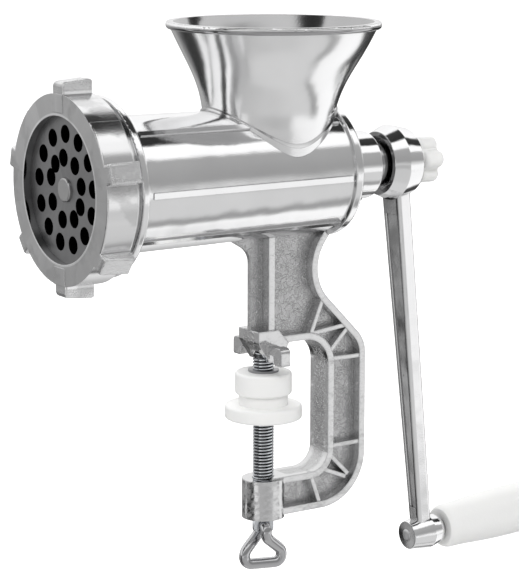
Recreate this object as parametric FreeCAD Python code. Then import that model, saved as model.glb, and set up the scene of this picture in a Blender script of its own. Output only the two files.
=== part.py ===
import FreeCAD, Part
import math
import os

os.makedirs("parts", exist_ok=True)

# Manual meat grinder, size 12, clamped to a table edge. Millimetres.
# The origin is on the clamp screw's axis, in the plane of the table top under the jaw.
# Z is up, X runs along the barrel from the outlet to the crank, and the table comes in from -X.

# Clearances
running_gap = 0.05            # radial, shafts in bushes and threads in nuts
face_gap = 0.3                # between faces that turn past each other
seat_gap = 0.02               # between faces that are pressed or screwed together

# Barrel
axis_height = 88.0            # barrel axis above the table top
outlet_reach = 107.6          # screw axis to the front face of the ring nut
rear_reach = 35.0             # screw axis to the back face of the barrel
barrel_front_radius = 30.7
barrel_rear_radius = 29.7
bore_radius = 26.0
mouth_thread_radius = 38.0
mouth_collar_radius = 40.4
mouth_collar_width = 3.5
thread_showing = 4.0          # thread left bare between ring nut and collar
shoulder_round = 4.5
end_band_radius = 31.3
end_band_width = 5.0
end_wall = 4.0
boss_radius = 16.0
boss_end = 57.0               # screw axis to the end of the bearing boss
boss_cone = 4.5
strip_width = 2.8
strip_height = 0.55
strip_angles = (37.4, 92.5, 139.0, 221.0, 267.5, 322.6)
strip_front = -77.5
strip_rear = 28.5
drip_radius = 5.0
drip_drop = 12.9              # drip lip's centre below the barrel axis
drip_length = 15.0

# Cutting set
plate_thickness = 8.0
plate_proud = 3.0             # how far the plate stands out of the barrel mouth
plate_gap = 0.3               # around the plate in the mouth
plate_hole_radius = 4.0
outer_row_radius = 24.5
outer_row_count = 13
inner_row_radius = 14.0
inner_row_angles = (-8.0, 36.0, 78.0, 116.0, 150.0, 194.0, 241.0, 287.0, 318.0)
key_radius = 1.5
key_angle = 188.0
key_gap = 0.25
knife_thickness = 7.4
knife_radius = 32.0
knife_hub_radius = 12.0
knife_blade_width = 10.0
knife_bevel = 5.0
knife_square = 11.0

# Ring nut
ring_radius = 43.0
ring_length = 15.2
ring_wall = 3.7
ring_opening_radius = 32.6
ring_edge = 0.8
ring_step = 0.7               # the cast outside is lower at the top and at the bottom
ring_low_spans = ((-41.0, 41.0), (128.0, 231.0))
lug_height = 4.4              # how far a lug's front end stands over the ring
lug_rise = 1.2                # and how much more its rear end does
lug_width = 9.4
lug_front_round = 2.4
lug_round = 1.3
lug_root = 3.0                # how deep a lug reaches into the ring
lug_rear_gap = 0.6
lug_angles = (0.0, 75.0, 128.0, 180.0, 231.0, 283.0)
band_angles = (0.0, 180.0)
face_band = 0.35              # two lugs carry on across the front face as low bands

# Hopper
rim_radius = 49.0
rim_bead = 1.1
rim_height = 157.6
rim_centre = 5.1
throat_lean = 7.0             # how far the throat's centre lies in front of the rim's
throat_half_length = 29.6
throat_half_width = 27.2
hopper_wall = 2.9
throat_ledge = 2.0            # step between the hopper's wall and the edge of the throat
flare_power = 2.7             # the flare opens slowly over the throat and faster higher up
flare_ease = 0.35             # share of it that eases off again under the rim
flare_ease_power = 6.0
waist_start = 0.3             # up to this share of the height the sides stand upright
waist_span = 0.5              # share of the height over which they join the flare
flare_steps = 8
seam_width = 1.0              # raised edge where the hopper sits on the barrel
seam_height = 0.9

# Auger
auger_shaft_radius = 9.5
auger_core_front = 8.5
auger_core_rear = 12.0
flight_gap = 0.5
flight_pitch = 27.0
flight_root = 5.0
flight_tip = 2.6
auger_disc = 4.0
thrust_thickness = 2.7
stud_radius = 5.35
stud_proud = 1.4
stud_depth = 14.0
tang_square = 13.0
bush_wall = 2.6

# Crank
hub_start = 64.5
hub_front_radius = 15.1
hub_ridge_radius = 18.1
hub_back_radius = 15.7
hub_cone = 7.0
hub_length = 17.4
hub_recess_depth = 4.0
collar_radius = 10.9
collar_recess_gap = 2.0
crank_drop = 187.4            # hub axis to grip axis, straight down
crank_lean = 20.2             # how far the arm leans out over that drop
arm_top_width = 14.6
arm_bottom_width = 8.8
arm_thickness = 8.2
arm_round = 2.2
arm_recess = 1.2
arm_rim = 1.8
pin_boss_front_radius = 7.0
pin_boss_ridge_radius = 8.7
pin_boss_back_radius = 7.2
pin_boss_length = 18.4
pin_boss_cone = 11.8
grip_tilt = 2.75              # degrees that the grip points up
grip_pin_radius = 4.8
rivet_radius = 3.1
grip_start_radius = 10.9
grip_swell_radius = 12.6
grip_end_radius = 11.2
grip_length = 98.0
grip_stand = 2.6              # pin showing between boss and grip
grip_pin_depth = 78.0
knob_radius = 11.4
knob_core_radius = 8.0
knob_lobes = 5
knob_lobe_radius = 4.2
knob_length = 14.6
knob_round = 2.6
knob_stud_radius = 4.0
knob_stud_depth = 13.0
washer_radius = 9.5
washer_thickness = 1.4

# Clamp frame
flange_half = 7.5
flange_thickness = 3.2
web_half = 2.0
column_front = -2.0
upper_arm_underside = 8.4
spine_inner = 32.1
spine_outer = 53.6
lower_arm_top = -56.3
lower_arm_bottom = -74.7
neck_corner = (18.9, 40.1)
neck_round = 21.0
shoulder_corner = 4.5
rib_thickness = 2.0
rib_half = 7.0
front_rib_reach = 8.2
front_rib_half = 1.3
gusset_reach = 16.0           # how far the front gusset runs out under the barrel
gusset_bend = 36.5            # its bend, front end and root, below the barrel axis
gusset_front = 27.0
gusset_root = 22.0
gusset_round = 9.0
screw_boss_radius = 10.1
screw_boss_top = -57.1
screw_boss_bottom = -76.0
foot_half = 8.5
ear_span = 20.3
ear_width = 6.8
ear_front = -3.6
ear_back = 1.4
ear_height = 8.6
ear_round = 2.4
neck_top = 8.0
neck_bottom = 4.4
pocket_radius = 6.0
pocket_depth = 5.0

# Clamp screw, pad and loop
screw_radius = 5.0
screw_top = 3.5
screw_end = -83.4
loop_hole_height = -80.0
loop_wire_radius = 2.6
loop_half_width = 9.1
loop_drop = 19.3
loop_corner = 3.6
loop_elbow = 2.8              # bend of the wire beside the tab
loop_knee = 4.4               # bends where the legs start and stop spreading
loop_leg_share = 0.27         # shares of the drop at which they do
loop_side_share = 0.69
loop_turn = -17.0             # degrees that the screw stands turned at rest
tab_half = 2.2
pad_top = -5.6
pad_disc_radius = 13.4
pad_disc_height = 10.6
pad_neck_radius = 11.6
pad_neck_height = 5.1
pad_flange_radius = 18.2
pad_flange_height = 6.6
pad_round = 1.2
clip_radius = 7.2
clip_wire = 0.5

# Places worked out from the sizes above
ring_front = -outlet_reach
plate_front = ring_front + ring_wall
plate_back = plate_front + plate_thickness
mouth_end = plate_front + plate_proud
ring_back = ring_front + ring_length
lug_reach = ring_radius + lug_height
collar_front = ring_back + thread_showing
collar_back = collar_front + mouth_collar_width
plate_radius = mouth_thread_radius - 3.1
recess_radius = plate_radius + plate_gap
knife_front = plate_back + seat_gap
knife_back = knife_front + knife_thickness
recess_floor = knife_back + face_gap
bore_rear = rear_reach - end_wall
thrust_front = bore_rear - thrust_thickness
disc_back = thrust_front - face_gap
disc_front = disc_back - auger_disc
bush_bore = auger_shaft_radius + running_gap
bush_radius = bush_bore + bush_wall
flight_radius = bore_radius - flight_gap
hub_end = hub_start + hub_length
tang_start = hub_start + hub_recess_depth
tang_end = hub_end - 3.0
pad_disc_bottom = pad_top - pad_disc_height
pad_flange_top = pad_disc_bottom - pad_neck_height
pad_bottom = pad_flange_top - pad_flange_height
mid_throat = (upper_arm_underside + lower_arm_top) / 2

Vec = FreeCAD.Vector
X_AXIS = Vec(1, 0, 0)
Y_AXIS = Vec(0, 1, 0)
Z_AXIS = Vec(0, 0, 1)
AXIS = Vec(0, 0, axis_height)


def rounded_wire(corners, closed=True):
    """Wire through corners (point, round), with a tangent arc at each rounded corner."""
    count = len(corners)
    runs = []
    for i, (here, rounding) in enumerate(corners):
        if rounding <= 0:
            runs.append((here, None, here))
            continue
        before = (corners[i - 1][0] - here).normalize()
        after = (corners[(i + 1) % count][0] - here).normalize()
        half = before.getAngle(after) / 2
        reach = rounding / math.tan(half)
        bisector = (before + after).normalize()
        mid = here + bisector * (rounding / math.sin(half) - rounding)
        runs.append((here + before * reach, mid, here + after * reach))
    edges = []
    for i, (start, mid, end) in enumerate(runs):
        if mid is not None:
            edges.append(Part.Arc(start, mid, end).toShape())
        following = runs[(i + 1) % count][0]
        if end.distanceToPoint(following) > 1e-6 and (closed or i < count - 1):
            edges.append(Part.LineSegment(end, following).toShape())
    return Part.Wire(edges)


def wire_of(corners, place):
    """Closed wire through corners (u, v, round), put in space by the given function."""
    return rounded_wire([(place(u, v), rounding) for u, v, rounding in corners])


def turned(corners, base=AXIS, direction=X_AXIS):
    """Solid of revolution: corners are (along, radius, round) about the given axis."""
    out = Z_AXIS if abs(direction.z) < 0.9 else X_AXIS

    def place(along, radius):
        return base + direction * along + out * radius

    face = Part.Face(wire_of(corners, place))
    return face.revolve(base, direction, 360)


def side_prism(corners, half_width, start=None):
    """Outline in X and Z, extruded along Y from -half_width, or from start, to half_width."""
    near = -half_width if start is None else start
    face = Part.Face(wire_of(corners, lambda x, z: Vec(x, near, z)))
    return face.extrude(Vec(0, half_width - near, 0))


def rod(radius, start, end, base=AXIS, direction=X_AXIS):
    return Part.makeCylinder(radius, end - start, base + direction * start, direction)


def about_axis(shape, angle):
    """Copy of a shape turned about the barrel axis; 0 is the top and 90 faces -Y."""
    copy = shape.copy()
    copy.rotate(AXIS, X_AXIS, angle)
    return copy


def across_axis(half_width, inner, outer, start, end):
    """Box standing up from the barrel axis, between two radii."""
    size = (end - start, 2 * half_width, outer - inner)
    return Part.makeBox(*size, Vec(start, -half_width, axis_height + inner))


def square_bar(side, start, end):
    return Part.makeBox(end - start, side, side, Vec(start, -side / 2, axis_height - side / 2))


def tidy(shape):
    """One clean solid with merged faces."""
    merged = shape.removeSplitter()
    return merged.Solids[0] if len(merged.Solids) == 1 else merged


def barrel_outside():
    """Outside of the barrel casting: mouth thread, collar, taper, end band, bearing boss and strips."""
    shoulder = collar_back + shoulder_round
    band_start = rear_reach - end_band_width
    form = turned([
        (mouth_end, 0, 0),
        (mouth_end, mouth_thread_radius, 0.8),
        (collar_front, mouth_thread_radius, 0),
        (collar_front, mouth_collar_radius, 0.8),
        (collar_back, mouth_collar_radius, 1.2),
        (collar_back, barrel_front_radius + shoulder_round, 0),
        (shoulder, barrel_front_radius, 3.0),
        (band_start, barrel_rear_radius, 0),
        (band_start + 0.8, end_band_radius, 0.5),
        (rear_reach, end_band_radius, 1.6),
        (rear_reach + 0.6, boss_radius + 6.0, 0),
        (rear_reach + boss_cone, boss_radius, 2.0),
        (boss_end, boss_radius, 1.0),
        (boss_end, 0, 0),
    ])
    return form.fuse(barrel_strips() + [drip_lip()])


def barrel_strips():
    """Low raised strips along the casting, three each side."""
    strips = []
    for angle in strip_angles:
        bar = across_axis(strip_width / 2, barrel_rear_radius - 2, barrel_front_radius + strip_height,
                          strip_front, strip_rear)
        strips.append(about_axis(bar, angle))
    return strips


def drip_lip():
    """Half-round lip under the bearing boss."""
    end = rear_reach + boss_cone + drip_length
    lip = Part.makeCylinder(drip_radius, end - rear_reach, AXIS + Vec(rear_reach, 0, -drip_drop), X_AXIS)
    return lip.makeFillet(2.0, [edge for edge in lip.Edges if edge.BoundBox.XMin > end - 1])


def flare_at(share):
    """Shares of the flare along X and along Y at a share of the height over the barrel axis."""
    flare_x = (1 + flare_ease) * share ** flare_power - flare_ease * share ** flare_ease_power
    waist = min(max((share - waist_start) / waist_span, 0.0), 1.0)
    return flare_x, flare_x * waist * waist * (3 - 2 * waist)


def hopper_section(share, shell):
    """Oval round the hopper at a share of its height, drawn in by the shell thickness."""
    flare_x, flare_y = flare_at(share)
    centre = rim_centre - throat_lean * (1 - min(share, 1.0)) ** 2
    height = axis_height + share * (rim_height - axis_height)
    half_x = throat_half_length + (rim_radius - throat_half_length) * flare_x - shell
    half_y = throat_half_width + (rim_radius - throat_half_width) * flare_y - shell
    points = []
    for step in range(24):
        turn = 2 * math.pi * step / 24
        points.append(Vec(centre + half_x * math.cos(turn), half_y * math.sin(turn), height))
    curve = Part.BSplineCurve()
    curve.interpolate(points, PeriodicFlag=True)
    return Part.Wire(curve.toShape())


def hopper_form(shell, steps=flare_steps + 1):
    """Solid form of the hopper from the barrel axis up; one step more runs on over the rim."""
    return Part.makeLoft([hopper_section(i / flare_steps, shell) for i in range(steps + 1)], True, False)


def make_hopper(outside):
    """Cast hopper with a beaded rim, seated on the barrel in a saddle with a thin raised edge."""
    shell = hopper_form(0.0, flare_steps)
    bead = Part.makeTorus(rim_radius - rim_bead / 2, rim_bead, Vec(rim_centre, 0, rim_height - rim_bead), Z_AXIS)
    seam = hopper_form(-seam_width).common(rod(barrel_front_radius + seam_height, strip_front, rear_reach))
    body = shell.fuse([bead, seam]).cut(hopper_form(hopper_wall))
    return tidy(body.cut(outside))


def make_barrel(outside):
    """Cast barrel: open bore, plate recess in the mouth, bearing bore in the rear boss."""
    hollow = turned([
        (mouth_end - 1, 0, 0),
        (mouth_end - 1, recess_radius, 0),
        (recess_floor, recess_radius, 0),
        (recess_floor, bore_radius, 0),
        (bore_rear, bore_radius, 2.0),
        (bore_rear, bush_radius + seat_gap, 0),
        (boss_end + 1, bush_radius + seat_gap, 0),
        (boss_end + 1, 0, 0),
    ])
    key = key_pin(key_radius + seat_gap, 1.0)
    return tidy(outside.cut([hollow, hopper_form(hopper_wall + throat_ledge), key]))


def key_pin(radius, spare=0.0):
    """Locating pin across the mouth recess's wall, in line with the plate's notch."""
    length = plate_thickness - plate_proud - 0.4
    start = mouth_end + 0.6
    pin = rod(radius, start, start + length + spare, AXIS + Vec(0, 0, recess_radius + 0.2))
    return about_axis(pin, key_angle)


def frame_region():
    """Side outline of column and C-frame. The arms, spine and neck run on in one curve."""
    return [
        (column_front, axis_height - 12, 0),
        (column_front, upper_arm_underside, 0),
        (spine_inner, upper_arm_underside, 13.0),
        (spine_inner, lower_arm_top, 10.0),
        (0, lower_arm_top, 0),
        (0, lower_arm_bottom, 0),
        (spine_outer, lower_arm_bottom, 25.0),
        (spine_outer, shoulder_corner, 16.0),
        (*neck_corner, neck_round),
        (neck_corner[0] + 14.4, neck_corner[1] + 19.2, 0),
        (neck_corner[0] + 11.0, axis_height - 12, 0),
    ]


def fan_ribs():
    """Stiffening ribs that fan out round the two corners of the C, mirrored about its middle."""
    upper = [
        ((29.5, 28.0), (22.2, 10.5)),
        ((46.5, 13.5), (23.0, 10.8)),
        ((44.5, 12.5), (31.5, -0.8)),
        ((52.0, -2.8), (32.5, -2.6)),
    ]
    lines = list(upper)
    for (x1, z1), (x2, z2) in upper[2:]:
        lines.append(((x1, 2 * mid_throat - z1), (x2, 2 * mid_throat - z2)))
    lines.append(((43.0, -61.5), (27.5, -55.0)))
    lines.append(((28.5, -74.0), (22.8, -58.0)))
    ribs = []
    for (x1, z1), (x2, z2) in lines:
        length = math.hypot(x2 - x1, z2 - z1)
        bar = Part.makeBox(length, 2 * rib_half, rib_thickness, Vec(0, -rib_half, -rib_thickness / 2))
        bar.rotate(Vec(0, 0, 0), Y_AXIS, -math.degrees(math.atan2(z2 - z1, x2 - x1)))
        bar.translate(Vec(x1, 0, z1))
        ribs.append(bar)
    return ribs


def jaw_foot():
    """Foot of the column: a fork over the screw tip, and a cross bar with two hooked toes."""
    fork = side_prism([
        (-front_rib_reach, 15.0, 0),
        (-front_rib_reach, 9.5, 1.5),
        (column_front - 0.1, 0, 0),
        (4.2, 0, 0),
        (8.6, upper_arm_underside, 0),
        (3.0, 15.0, 0),
    ], foot_half)
    half = [
        (foot_half - 1.5, neck_top, 0),
        (ear_span - ear_width, neck_top, 0.4),
        (ear_span - ear_width + 1, ear_height, 0.4),
        (ear_span, ear_height, ear_round),
        (ear_span, 0, 0.8),
        (ear_span - ear_width + 1, 0, 0.8),
        (ear_span - ear_width, neck_bottom, 0.8),
        (foot_half - 1.5, neck_bottom, 0),
    ]
    corners = half + [(-u, v, rounding) for u, v, rounding in reversed(half)]
    face = Part.Face(wire_of(corners, lambda y, z: Vec(ear_front, y, z)))
    bar = face.extrude(Vec(ear_back - ear_front, 0, 0))
    pocket = Part.makeCylinder(pocket_radius, pocket_depth + 1, Vec(0, 0, -1), Z_AXIS)
    return fork.fuse(bar).cut(pocket)


def make_clamp_frame(outside):
    """Cast column and C-frame of I section, with its ribs, jaw foot and screw boss."""
    region = frame_region()
    block = side_prism(region, flange_half)
    inner = Part.Face(wire_of(region, lambda x, z: Vec(x, 0, z))).makeOffset2D(-flange_thickness)
    depth = flange_half - web_half + 1
    near = inner.copy()
    near.translate(Vec(0, -flange_half - 1, 0))
    far = inner.copy()
    far.translate(Vec(0, web_half, 0))
    body = block.cut([near.extrude(Vec(0, depth, 0)), far.extrude(Vec(0, depth, 0))])
    ribs = [bar.common(block) for bar in fan_ribs()]
    gusset = side_prism([
        (column_front + 1, 12.0, 0),
        (-front_rib_reach, 12.0, 0),
        (-front_rib_reach, axis_height - gusset_bend, gusset_round),
        (-front_rib_reach - gusset_reach, axis_height - gusset_front, 0),
        (column_front + 1, axis_height - gusset_root, 0),
    ], front_rib_half)
    length = screw_boss_top - screw_boss_bottom
    boss = Part.makeCylinder(screw_boss_radius, length, Vec(0, 0, screw_boss_bottom), Z_AXIS)
    body = body.fuse(ribs + [gusset, jaw_foot(), boss])
    hole = Part.makeCylinder(screw_radius + running_gap, length + 2, Vec(0, 0, screw_boss_bottom - 1), Z_AXIS)
    return tidy(body.cut([outside, hole]))


def ring_low_side(start, end):
    """Slice that lowers the ring nut's cast outside between two angles."""
    inner = ring_radius - ring_step
    outer = ring_radius + lug_height
    face = Part.Face(wire_of([
        (ring_front - 1, inner, 0),
        (ring_back + 1, inner, 0),
        (ring_back + 1, outer, 0),
        (ring_front - 1, outer, 0),
    ], lambda x, r: AXIS + Vec(x, 0, r)))
    return about_axis(face.revolve(AXIS, X_AXIS, end - start), start)


def ring_lug():
    """Cast lug: a block that rises to the rear, with rounded outer edges."""
    bottom = axis_height + ring_radius - lug_root
    top = axis_height + lug_reach
    end = ring_back - lug_rear_gap
    block = side_prism([
        (ring_front, bottom, 0),
        (ring_front, top, lug_front_round),
        (end, top + lug_rise, 0),
        (end, bottom, 0),
    ], lug_width / 2)
    return block.makeFillet(lug_round, [edge for edge in block.Edges if edge.BoundBox.ZMin > top - 0.1])


def make_ring_nut():
    """Turned ring nut with cast lugs that run its full length."""
    body = turned([
        (ring_front, ring_opening_radius, 0),
        (ring_front, ring_radius, ring_edge),
        (ring_back, ring_radius, ring_edge),
        (ring_back, mouth_thread_radius + running_gap, 0),
        (plate_front, mouth_thread_radius + running_gap, 0),
        (plate_front, ring_opening_radius, 0),
    ])
    body = body.cut([ring_low_side(*span) for span in ring_low_spans])
    band = across_axis(lug_width / 2, ring_opening_radius + 1.5, ring_radius - 1,
                       ring_front - face_band, ring_front + 1)
    parts = [about_axis(ring_lug(), angle) for angle in lug_angles]
    parts += [about_axis(band, angle) for angle in band_angles]
    return tidy(body.fuse(parts))


def make_plate():
    """Hole plate with two rows of holes, a stud bearing and a locating notch."""
    plate = turned([
        (plate_front, 0, 0),
        (plate_front, plate_radius, 0.5),
        (plate_back, plate_radius, 0.5),
        (plate_back, 0, 0),
    ])
    hole = rod(plate_hole_radius, plate_front - 1, plate_back + 1, AXIS + Vec(0, 0, outer_row_radius))
    holes = [about_axis(hole, 360 * i / outer_row_count) for i in range(outer_row_count)]
    hole = rod(plate_hole_radius, plate_front - 1, plate_back + 1, AXIS + Vec(0, 0, inner_row_radius))
    holes += [about_axis(hole, angle) for angle in inner_row_angles]
    holes.append(rod(stud_radius + running_gap, plate_front - 1, plate_back + 1))
    depth = key_radius + key_gap
    notch = across_axis(depth, recess_radius + 0.2 - depth, recess_radius + 4, plate_front - 1, plate_back + 1)
    holes.append(about_axis(notch, key_angle))
    return tidy(plate.cut(holes))


def make_knife():
    """Four-bladed knife with a square hole; each blade slopes away behind its cutting edge."""
    half = knife_blade_width / 2
    hub = rod(knife_hub_radius, knife_front, knife_back)
    blades = []
    for i in range(4):
        outline = [
            (knife_front, -half, 0),
            (knife_front, half - 1, 0),
            (knife_back, half - knife_bevel, 0),
            (knife_back, -half, 0),
        ]
        face = Part.Face(wire_of(outline, lambda x, y: Vec(x, y, axis_height)))
        blade = face.extrude(Vec(0, 0, knife_radius + 3))
        blades.append(about_axis(blade, 45 + 90 * i))
    body = hub.fuse(blades).common(rod(knife_radius, knife_front, knife_back))
    return tidy(body.cut(square_bar(knife_square + 2 * running_gap, knife_front - 1, knife_back + 1)))


def make_flight():
    """Single left-hand flight, thick at the core and thin at its rim."""
    start = knife_back + face_gap + flight_root / 2
    length = disc_front - start + 1.0
    root = auger_core_front - 2.0
    helix = Part.makeHelix(flight_pitch, length, root, 0, True)
    thin = (flight_root - flight_tip) / 2
    corners = [
        (root, -flight_root / 2, 0),
        (flight_radius, -flight_root / 2 + thin, 0),
        (flight_radius, flight_root / 2 - thin, 0),
        (root, flight_root / 2, 0),
    ]
    profile = wire_of(corners, lambda r, z: Vec(r, 0, z))
    flight = Part.Wire(helix.Edges).makePipeShell([profile], True, True)
    flight.rotate(Vec(0, 0, 0), Y_AXIS, 90)
    flight.translate(Vec(start, 0, axis_height))
    return flight


def make_auger():
    """Feed screw: tapered core, helical flight, thrust disc, journal and square tang."""
    front = knife_back + face_gap
    core = turned([
        (front, 0, 0),
        (front, auger_core_front, 0),
        (disc_front, auger_core_rear, 3.0),
        (disc_front, flight_radius, 0),
        (disc_back, flight_radius, 0.5),
        (disc_back, auger_shaft_radius, 0),
        (tang_start, auger_shaft_radius, 0),
        (tang_start, 0, 0),
    ])
    flight = make_flight().common(rod(bore_radius, front, disc_front + 1))
    body = core.fuse(flight).fuse(square_bar(tang_square, tang_start - 1, tang_end))
    socket = rod(stud_radius + 0.6, front - 1, front + stud_depth)
    thread = rod(knob_stud_radius + running_gap, hub_end - knob_stud_depth - 1, tang_end + 1)
    return tidy(body.cut([socket, thread]))


def make_stud():
    """Steel stud in the auger's nose: round end in the plate, square for the knife."""
    front = knife_back + face_gap
    head = turned([
        (plate_front - stud_proud, 0, 0),
        (plate_front - stud_proud, stud_radius, 0.7),
        (knife_front, stud_radius, 0),
        (knife_front, 0, 0),
    ])
    square = square_bar(knife_square, knife_front, front)
    shank = rod(stud_radius + 0.6 - seat_gap, front, front + stud_depth - 0.5)
    return tidy(head.fuse([square.common(rod(stud_radius + 2, knife_front, front)), shank]))


def make_rear_bush():
    """Sleeve bearing pressed in the rear boss."""
    return turned([
        (bore_rear + 0.2, bush_bore, 0),
        (bore_rear + 0.2, bush_radius, 0.3),
        (boss_end - 0.4, bush_radius, 0.3),
        (boss_end - 0.4, bush_bore, 0),
    ])


def make_thrust_washer():
    """Plain washer between the auger's disc and the barrel's end wall."""
    return turned([
        (thrust_front, auger_shaft_radius + 0.6, 0),
        (thrust_front, bore_radius - 3.0, 0.4),
        (bore_rear - seat_gap, bore_radius - 3.0, 0.4),
        (bore_rear - seat_gap, auger_shaft_radius + 0.6, 0),
    ])


def make_shaft_collar():
    """Steel spacer on the shaft between the bearing boss and the crank hub."""
    start = boss_end + face_gap
    return turned([
        (start, auger_shaft_radius + seat_gap, 0),
        (start, collar_radius, 0.4),
        (tang_start - seat_gap, collar_radius, 0.4),
        (tang_start - seat_gap, auger_shaft_radius + seat_gap, 0),
    ])


def grip_frame():
    """Centre of the pin boss, and the direction that the grip points."""
    tilt = math.radians(grip_tilt)
    direction = Vec(math.cos(tilt), 0, math.sin(tilt))
    middle = hub_start + hub_length / 2 + 1.5 + crank_lean
    centre = Vec(middle, 0, axis_height - crank_drop)
    return centre, direction


def arm_section(share, inset_x, inset_y):
    """Rounded rectangle across the arm at a share of its length from the hub."""
    top = Vec(hub_start + hub_length / 2 + 1.5, 0, axis_height)
    centre = grip_frame()[0]
    middle = top + (centre - top) * share
    half_x = arm_thickness / 2 - inset_x
    half_y = (arm_top_width + (arm_bottom_width - arm_top_width) * share) / 2 - inset_y
    rounding = arm_round if inset_x == 0 else 0.8
    corners = [
        (-half_x, -half_y, rounding),
        (half_x, -half_y, rounding),
        (half_x, half_y, rounding),
        (-half_x, half_y, rounding),
    ]
    return wire_of(corners, lambda x, y: middle + Vec(x, y, 0))


def make_crank():
    """Cast crank: coned hub, leaning arm with a sunk face, and coned boss for the grip pin."""
    hub = turned([
        (hub_start, 0, 0),
        (hub_start, hub_front_radius, 0.4),
        (hub_start + hub_cone, hub_ridge_radius, 0.6),
        (hub_end, hub_back_radius, 1.8),
        (hub_end, 0, 0),
    ])
    centre, direction = grip_frame()
    half = pin_boss_length / 2
    pin_boss = turned([
        (-half, 0, 0),
        (-half, pin_boss_front_radius, 0.4),
        (-half + pin_boss_cone, pin_boss_ridge_radius, 0.6),
        (half, pin_boss_back_radius, 0.6),
        (half, 0, 0),
    ], centre, direction)
    arm = Part.makeLoft([arm_section(0.04, 0, 0), arm_section(0.98, 0, 0)], True)
    body = hub.fuse([arm, pin_boss])
    sunk = Part.makeLoft([arm_section(0.135, 1.5, arm_rim), arm_section(0.93, 1.5, arm_rim)], True)
    for side in (-1, 1):
        cut = sunk.copy()
        cut.translate(Vec(side * (arm_thickness / 2 - arm_recess + arm_thickness / 2 - 1.5), 0, 0))
        body = body.cut(cut)
    recess = rod(collar_radius + collar_recess_gap, hub_start - 1, tang_start)
    socket = square_bar(tang_square + 2 * running_gap, tang_start - 1, hub_end + 1)
    rivet = rod(rivet_radius + seat_gap, -half - 1, half + 1, centre, direction)
    return tidy(body.cut([recess, socket, rivet]))


def make_grip_pin():
    """Steel pin: riveted through the boss, thick where the grip turns on it."""
    centre, direction = grip_frame()
    half = pin_boss_length / 2
    start = half + seat_gap
    end = start + grip_stand + grip_pin_depth
    return turned([
        (-half - 0.5, 0, 0),
        (-half - 0.5, rivet_radius - 0.8, 0),
        (-half, rivet_radius, 0),
        (start, rivet_radius, 0),
        (start, grip_pin_radius, 0.3),
        (end, grip_pin_radius, 0.8),
        (end, 0, 0),
    ], centre, direction)


def make_grip():
    """Moulded grip, swelling to its outer third and rounded at the end."""
    centre, direction = grip_frame()
    start = pin_boss_length / 2 + grip_stand
    end = start + grip_length
    out = Z_AXIS.cross(direction).cross(direction) * -1

    def place(along, radius):
        return centre + direction * along + out * radius

    sizes = [
        (0.0, grip_start_radius - 1.6),
        (0.018, grip_start_radius - 0.3),
        (0.05, grip_start_radius + 0.05),
        (0.25, grip_start_radius + 0.62 * (grip_swell_radius - grip_start_radius)),
        (0.5, grip_swell_radius - 0.1),
        (0.66, grip_swell_radius),
        (0.84, grip_end_radius + 0.3),
        (0.93, grip_end_radius - 1.7),
        (0.98, grip_end_radius - 5.4),
        (1.0, 0.0),
    ]
    curve = Part.BSplineCurve()
    points = [place(start + share * grip_length, radius) for share, radius in sizes]
    curve.interpolate(points)
    near = Part.LineSegment(place(start, 0), points[0]).toShape()
    spine = Part.LineSegment(place(end, 0), place(start, 0)).toShape()
    face = Part.Face(Part.Wire([near, curve.toShape(), spine]))
    body = face.revolve(centre, direction, 360)
    bore_end = pin_boss_length / 2 + seat_gap + grip_stand + grip_pin_depth + face_gap
    bore = rod(grip_pin_radius + running_gap, start - 1, bore_end, centre, direction)
    return tidy(body.cut(bore))


def make_washer():
    """Washer under the thumb screw."""
    start = hub_end + seat_gap
    return turned([
        (start, knob_stud_radius + 0.3, 0),
        (start, washer_radius, 0.3),
        (start + washer_thickness, washer_radius, 0.3),
        (start + washer_thickness, knob_stud_radius + 0.3, 0),
    ])


def make_knob():
    """Lobed plastic head of the thumb screw."""
    start = hub_end + 2 * seat_gap + washer_thickness
    end = start + knob_length
    core = turned([
        (start, 0, 0),
        (start, knob_core_radius - 1, 0.6),
        (start + 3, knob_core_radius, 1.0),
        (end, knob_core_radius, knob_round),
        (end, 0, 0),
    ])
    ring = knob_radius - knob_lobe_radius
    lobe = rod(knob_lobe_radius, start + 3, end - 0.4, AXIS + Vec(0, 0, ring))
    lobe = lobe.makeFillet(knob_round, [edge for edge in lobe.Edges if edge.BoundBox.XLength < 0.01])
    lobes = [about_axis(lobe, 360 * i / knob_lobes + 12) for i in range(knob_lobes)]
    hole = rod(knob_stud_radius + seat_gap, start - 1, start + 9)
    return tidy(core.fuse(lobes).cut(hole))


def make_knob_stud():
    """Threaded steel stud moulded in the knob."""
    start = hub_end - knob_stud_depth
    end = hub_end + 2 * seat_gap + washer_thickness + 9 - 0.1
    return turned([
        (start, 0, 0),
        (start, knob_stud_radius, 0.6),
        (end, knob_stud_radius, 0.3),
        (end, 0, 0),
    ])


def make_pad():
    """Moulded plastic pad: a spool with a small disc on top and a wide one below."""
    body = turned([
        (pad_top, 0, 0),
        (pad_top, pad_disc_radius, pad_round),
        (pad_disc_bottom, pad_disc_radius, pad_round),
        (pad_disc_bottom, pad_neck_radius, 0),
        (pad_flange_top, pad_neck_radius, 0),
        (pad_flange_top, pad_flange_radius, pad_round),
        (pad_bottom, pad_flange_radius, pad_round),
        (pad_bottom, 0, 0),
    ], Vec(0, 0, 0), Z_AXIS)
    hole = Part.makeCylinder(screw_radius + 0.3, pad_top - pad_bottom + 2, Vec(0, 0, pad_bottom - 1), Z_AXIS)
    return tidy(body.cut(hole))


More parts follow.
